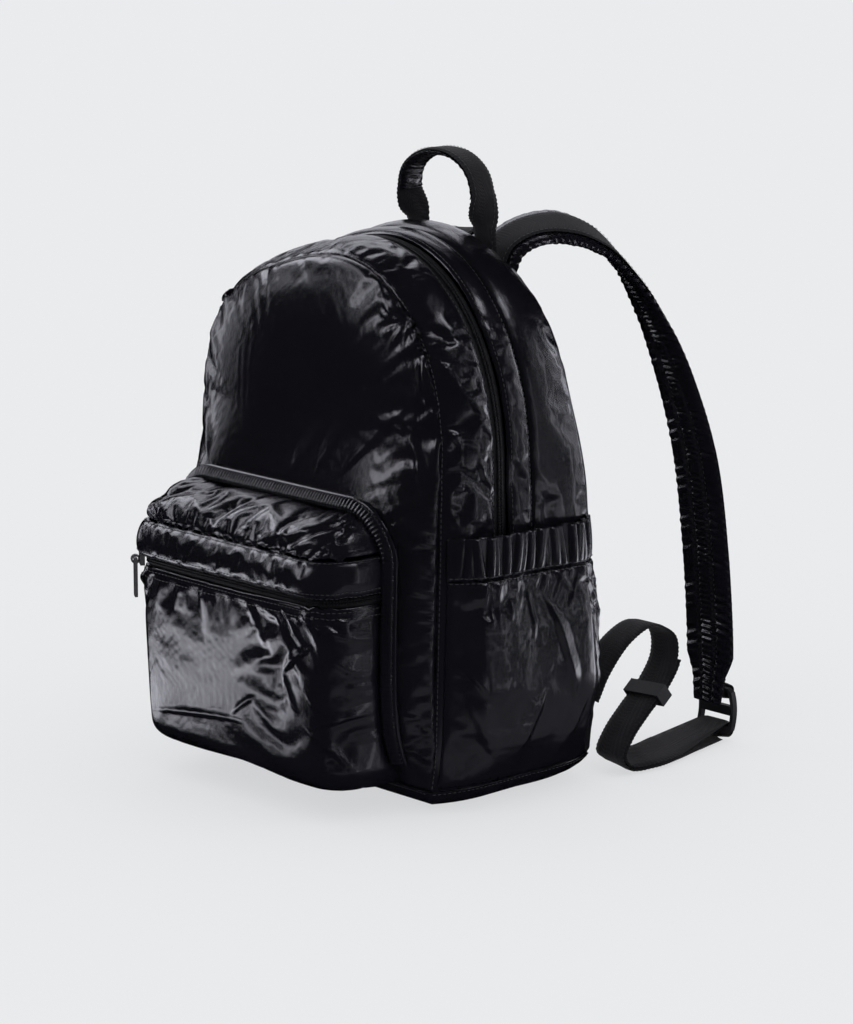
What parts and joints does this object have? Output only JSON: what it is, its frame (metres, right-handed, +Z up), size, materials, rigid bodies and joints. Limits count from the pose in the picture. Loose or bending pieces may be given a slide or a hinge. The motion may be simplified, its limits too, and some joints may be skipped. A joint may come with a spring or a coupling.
{
  "type": "mini backpack",
  "caption": "Small arched nylon backpack with a zipped front pocket, gathered side pockets, a carry handle and padded straps with ladder buckles.",
  "frame": {"origin": "centre of the flat underside of the base", "axes": "+Z up, -Y towards the front pocket, +X to the right of the bag seen from its back"},
  "size_m": [0.2224, 0.2757, 0.3129],
  "materials": {
    "nylon": "glossy coated nylon",
    "webbing": "matte woven tape",
    "zipper": "matte tape and coil",
    "plastic": "satin",
    "metal": "satin black"
  },
  "bodies": {
    "bag": {"gusset_front": "nylon", "main_zipper": "zipper", "zip_band": "nylon", "gusset_rear": "nylon", "front_panel": "nylon", "back_panel": "nylon", "base": "nylon", "pocket_lower": "nylon", "pocket_zipper": "zipper", "pocket_band": "nylon", "pocket_upper": "nylon", "pocket_binding": "nylon", "handle_webbing": "webbing", "handle_grip": "nylon", "pocket_zip_slider": "metal", "main_zip_slider": "metal", "side_pocket_right": "nylon", "side_pocket_left": "nylon", "side_band_right": "nylon", "side_band_left": "nylon", "strap_pad_right": "nylon", "strap_pad_left": "nylon", "strap_webbing_right": "webbing", "strap_webbing_left": "webbing", "webbing_right": "webbing", "webbing_left": "webbing", "buckle_right": "plastic", "buckle_left": "plastic", "keeper_right": "plastic", "keeper_left": "plastic"},
    "pull": {"pocket_zip_pull": "metal"}
  },
  "joints": [
    {"name": "pocket_pull_swing", "type": "hinge", "parent": "bag", "child": "pull", "pos_m": [-0.06997, -0.11195, 0.1106], "axis": [-0.8551, 0.5184, 0], "range_deg": [0, 120]}
  ]
}
